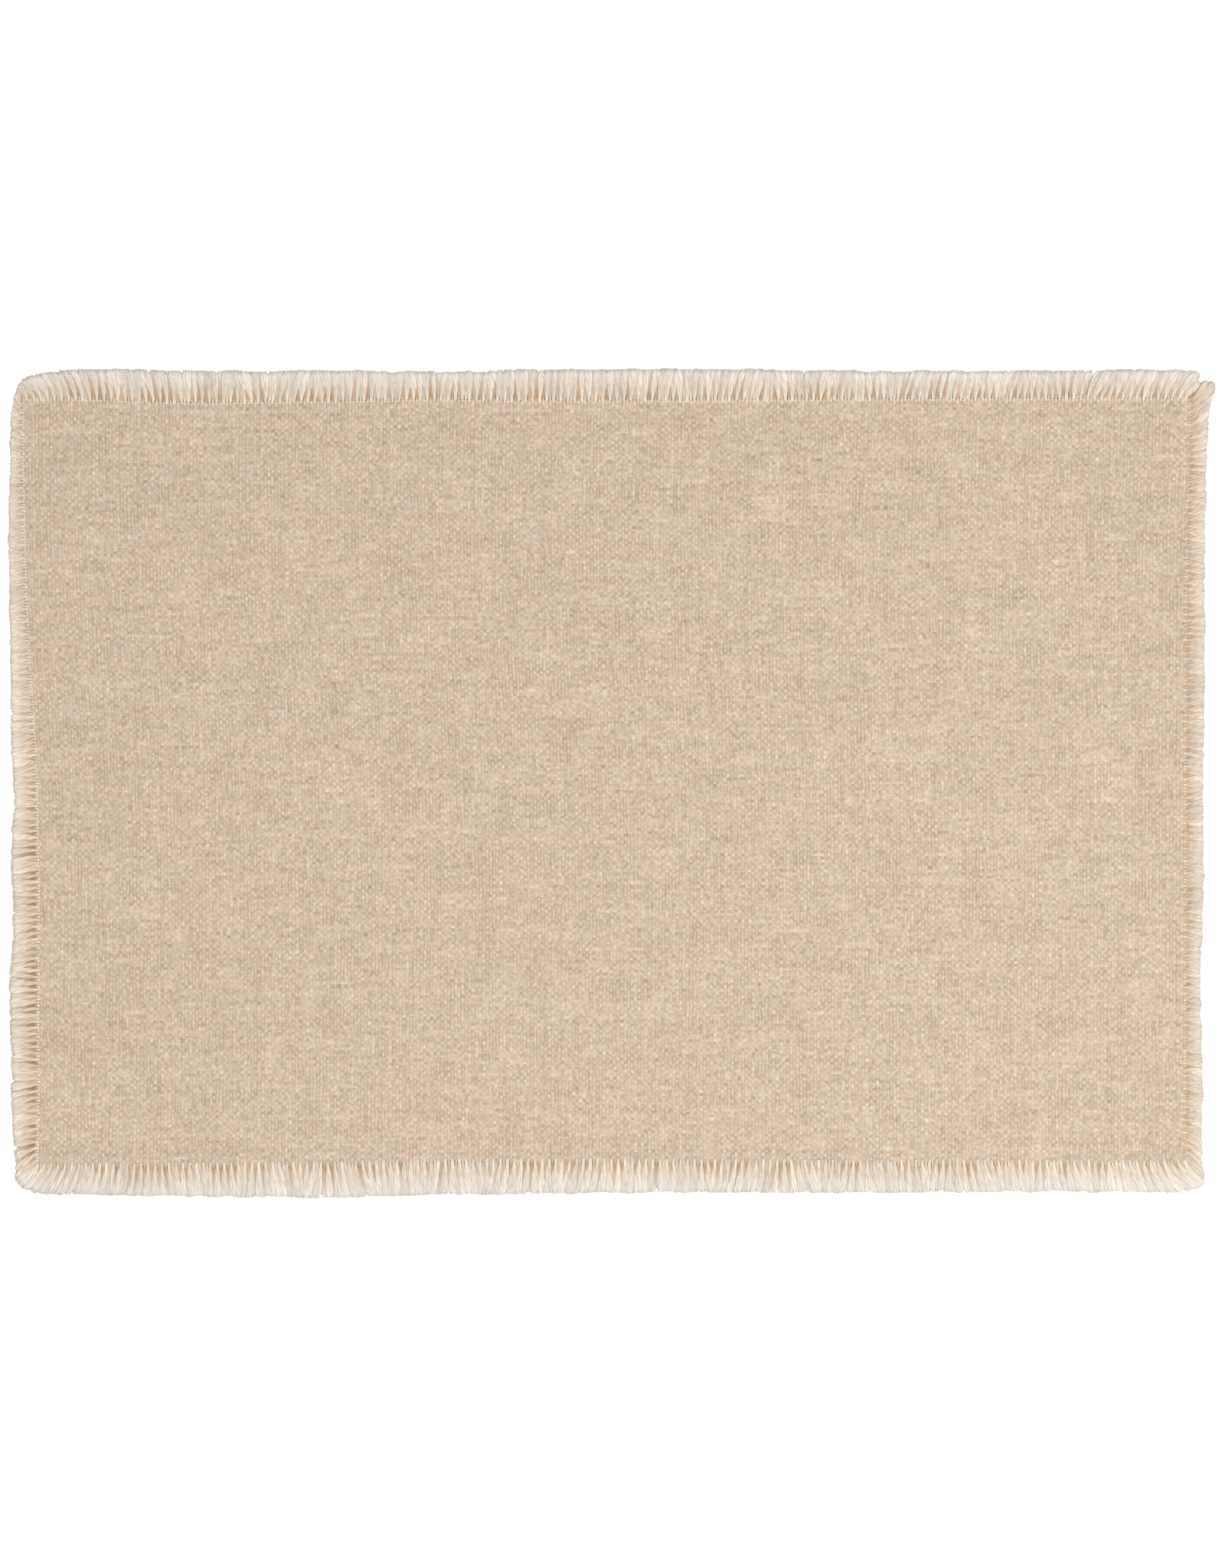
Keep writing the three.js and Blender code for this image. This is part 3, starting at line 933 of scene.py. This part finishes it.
def yarn_finish(name, root, middle, tip, gap):
    f = Finish(name, roughness=0.92, sheen=0.2)
    from_root = f.attribute("from_root")
    across = f.attribute("across")
    shade = f.attribute("shade")
    tint = f.attribute("tint")
    color = f.mix(f.spread(from_root, 0.0, MIDDLE_AT, 0, 1), root, middle)
    color = f.mix(f.spread(from_root, MIDDLE_AT, TIP_AT, 0, 1), color, tip)
    # Painted shade: near the root the colour is pulled towards the gap colour, a warm brown that stands for
    # the shade between strands, as far as the point's shade number says. For the fringes the gap colour is
    # this painted shade colour.
    gap_left = f.sum("SUBTRACT", 1.0, f.spread(from_root, GAP_FROM, 1.0, 0, 1))
    gap_left = f.sum("POWER", gap_left, GAP_FADES_LATE)
    gap_left = f.times(gap_left, f.spread(from_root, 0, GAP_FULL_AT, GAP_AT_ROOT, 1))
    color = f.mix(f.times(gap_left, shade), color, gap)
    color = f.brighten(color, f.spread(tint, 0, 1, *TUBE_SHADES))
    place = f.add("ShaderNodeTexCoord", {}, output=3)
    cloud = f.noise(place, scale=CLOUDS_PER_MM / MM, detail=2.0)
    color = f.brighten(color, f.spread(cloud, *CLOUD_NOISE, *CLOUD_SHADES))
    strand = f.point(f.times(across, FIBRES_PER_MM), from_root, f.times(tint, TUBES_APART))
    fibre = f.noise(strand, detail=3.0)
    color = f.brighten(color, f.spread(fibre, *FIBRE_NOISE, *FIBRE_SHADES))
    return f.done(color, fibre, FIBRE_RELIEF)


# The back and front fringes are one cream yarn in two copies. The back's is painted lighter and the front's
# darker: painted light and shade that even out the lamp in front, which lights the front fringe more.
back_yarn = yarn_finish(
    "loose cream yarn of the back",
    root=screen(221, 209, 193), middle=screen(213, 202, 187), tip=screen(222, 214, 205),
    gap=screen(181, 145, 110),
)
front_yarn = yarn_finish(
    "loose cream yarn of the front",
    root=screen(218, 207, 192), middle=screen(212, 201, 186), tip=screen(213, 206, 197),
    gap=screen(181, 145, 110),
)
right_yarn = yarn_finish(
    "loose sand yarn of the right side",
    root=screen(198, 177, 155), middle=screen(204, 187, 168), tip=screen(213, 201, 186),
    gap=screen(172, 134, 100),
)
left_yarn = yarn_finish(
    "loose sand yarn of the left side",
    root=screen(213, 195, 175), middle=screen(214, 196, 177), tip=screen(225, 214, 200),
    gap=screen(158, 119, 84),
)
stitch_thread = yarn_finish(
    "stitch thread",
    root=screen(240, 232, 220), middle=screen(240, 232, 220), tip=screen(240, 232, 220),
    gap=GROUND,
)
for finish in (back_yarn, right_yarn, front_yarn, left_yarn, stitch_thread):
    print("finish:", finish.name)

# %% [markdown]
# The warp ends make the long fringes and the weft ends the short ones. Each starts exactly
# where its own yarn leaves the weave, and lies on top if the last crossing had it on top. The
# painted shade in the gaps is not equally dark everywhere. The long fringes have warm dark
# painted shade. On the left side the fringe is brushed down smooth towards the back and
# stands apart towards the front, and its painted gap shade is light towards the back and deep
# towards the front. On the right side the painted gap shade is faint.

# %% Lay the four fringes
# How dark the painted gap shade is, at places along each side in millimetres.
LONG_GAPS = {"along": [0], "dark": [0.9]}
RIGHT_GAPS = {"along": [0], "dark": [0.5]}
LEFT_GAPS = {"along": [-158, -40, -10, 20, 60, 158], "dark": [1, 1, 0.6, 0.3, 0.22, 0.18]}
FRINGES = {
    "back": {"seed": 21, "slot": "long_side_yarn", "finish": back_yarn, "gaps": LONG_GAPS},
    "right": {"seed": 22, "slot": "short_side_yarn", "finish": right_yarn, "gaps": RIGHT_GAPS},
    "front": {"seed": 23, "slot": "long_side_yarn", "finish": front_yarn, "gaps": LONG_GAPS},
    "left": {"seed": 24, "slot": "short_side_yarn", "finish": left_yarn, "gaps": LEFT_GAPS},
}


def yarn_roots(name):
    """Where the yarns of a side leave the weave, and whether they leave it on top."""
    if name in ("back", "front"):
        edge = 1 if name == "back" else -1
        x, y = crossing(warp_share, np.full(warp_count, edge))
        number = np.arange(warp_count) + (weft_count - 1 if name == "back" else 0)
        on_top = number % 2 == 0
    else:
        edge = 1 if name == "right" else -1
        x, y = crossing(np.full(weft_count, edge), weft_share)
        number = np.arange(weft_count) + (warp_count - 1 if name == "right" else 0)
        on_top = number % 2 == 1
    along, out = to_side(name, x, y)
    order = np.argsort(along)
    return along[order], out[order], on_top[order]


def lay_fringe(name, seed, slot, finish, gaps):
    """One side's fringe as a finished piece."""
    roots, root_out, over = yarn_roots(name)
    dark = np.interp(roots / MM, gaps["along"], gaps["dark"])
    mesh = bend_yarns(name, np.random.default_rng(seed), roots, root_out, over, dark)
    mesh.polygons.foreach_set("use_smooth", np.ones(len(mesh.polygons), bool))
    mesh.materials.append(finish)
    piece = bpy.data.objects.new(f"yarn_ends_{name}", mesh)
    scene.collection.objects.link(piece)
    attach(piece, "root")
    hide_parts(f"fringe_{name}")
    mesh.calc_loop_triangles()
    print(name, "fringe:", len(roots), "yarn ends,", len(mesh.loop_triangles), "triangles")
    return piece


fringes = [lay_fringe(name, **facts) for name, facts in FRINGES.items()]

# %% [markdown]
# A line of small stitches just inside each edge keeps the weave from opening further. They
# show as pale dots across the outermost yarns on the right side and on the front half of the
# left side, and elsewhere their thread is as dark as the cloth. Each is a bent tube whose
# ends dive into the cloth, again repeated by an array and then set in place.

# %% Securing stitches
STITCH_SIDES = 6
STITCH_RINGS = 5
STITCH_RADIUS = 0.24 * MM
STITCH_LENGTH = 1.3 * MM
STITCH_RISE = 0.14 * MM
STITCH_INSIDE = 0.9 * MM
STITCH_END_SHARE = 0.55
YARNS_PER_STITCH = 2
YARNS_BEFORE_FIRST = 2
STITCH_ALONG_SCATTER = 0.12 * MM
STITCH_OUT_SCATTER = 0.1 * MM
STITCH_SLANT = 0.18
STITCH_SHADE_SCATTER = 0.15
STITCH_SEED = 31
STITCH_SHADES = {
    "back": {"along": [0], "shade": [1]},
    "right": {"along": [0], "shade": [0.05]},
    "front": {"along": [0], "shade": [1]},
    "left": {"along": [-20, 20], "shade": [0.4, 0.95]},
}


def stitch_places():
    """The side, along and out of the middle of every stitch."""
    sewn = slice(YARNS_BEFORE_FIRST, -YARNS_BEFORE_FIRST, YARNS_PER_STITCH)
    places = []
    for name in TURNS:
        roots, root_out, _ = yarn_roots(name)
        for along, out in zip(roots[sewn], root_out[sewn]):
            places.append((name, along, out - STITCH_INSIDE))
    return places


def sew_stitches():
    """All the stitches as one finished piece."""
    rng = np.random.default_rng(STITCH_SEED)
    places = stitch_places()
    count = len(places)
    single = tube_set("stitch", [(STITCH_SIDES, STITCH_RINGS)])
    mesh = repeat(single, count, "securing_stitches")
    copy, lane, t, section_x, section_z = read_tubes(single, count)
    shade = np.array([
        np.interp(along / MM, STITCH_SHADES[name]["along"], STITCH_SHADES[name]["shade"])
        for name, along, _ in places
    ]) + rng.normal(0, STITCH_SHADE_SCATTER, count)
    bow = np.sin(np.pi * t)
    radius = STITCH_RADIUS * (STITCH_END_SHARE + (1 - STITCH_END_SHARE) * bow)
    along = np.array([place[1] for place in places]) + rng.normal(0, STITCH_ALONG_SCATTER, count)
    out = np.array([place[2] for place in places]) + rng.normal(0, STITCH_OUT_SCATTER, count)
    slant = rng.normal(0, STITCH_SLANT, count)
    reach = (t - 0.5) * STITCH_LENGTH
    along = along[copy] + reach * slant[copy] + section_x * radius
    out = out[copy] + reach
    z = CLOTH_TOP - STITCH_RADIUS / 2 + STITCH_RISE * bow + section_z * radius
    names = np.array([place[0] for place in places])[copy]
    x, y = np.empty(len(copy)), np.empty(len(copy))
    for name in TURNS:
        here = names == name
        x[here], y[here] = to_mat(name, along[here], out[here])
    mesh.vertices.foreach_set("co", np.column_stack([x, y, z]).ravel())
    keep(mesh, "from_root", np.zeros(len(copy)))
    keep(mesh, "across", section_x * radius / MM)
    keep(mesh, "shade", np.clip(shade, 0, 1)[copy])
    keep(mesh, "tint", rng.uniform(0, 1, count)[copy])
    map_tubes(mesh, copy, t, section_x)
    mesh.polygons.foreach_set("use_smooth", np.ones(len(mesh.polygons), bool))
    mesh.materials.append(stitch_thread)
    mesh.update()
    piece = bpy.data.objects.new("securing_stitches", mesh)
    scene.collection.objects.link(piece)
    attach(piece, "root")
    mesh.calc_loop_triangles()
    print("securing stitches:", count, "and", len(mesh.loop_triangles), "triangles")
    return piece


stitches = sew_stitches()
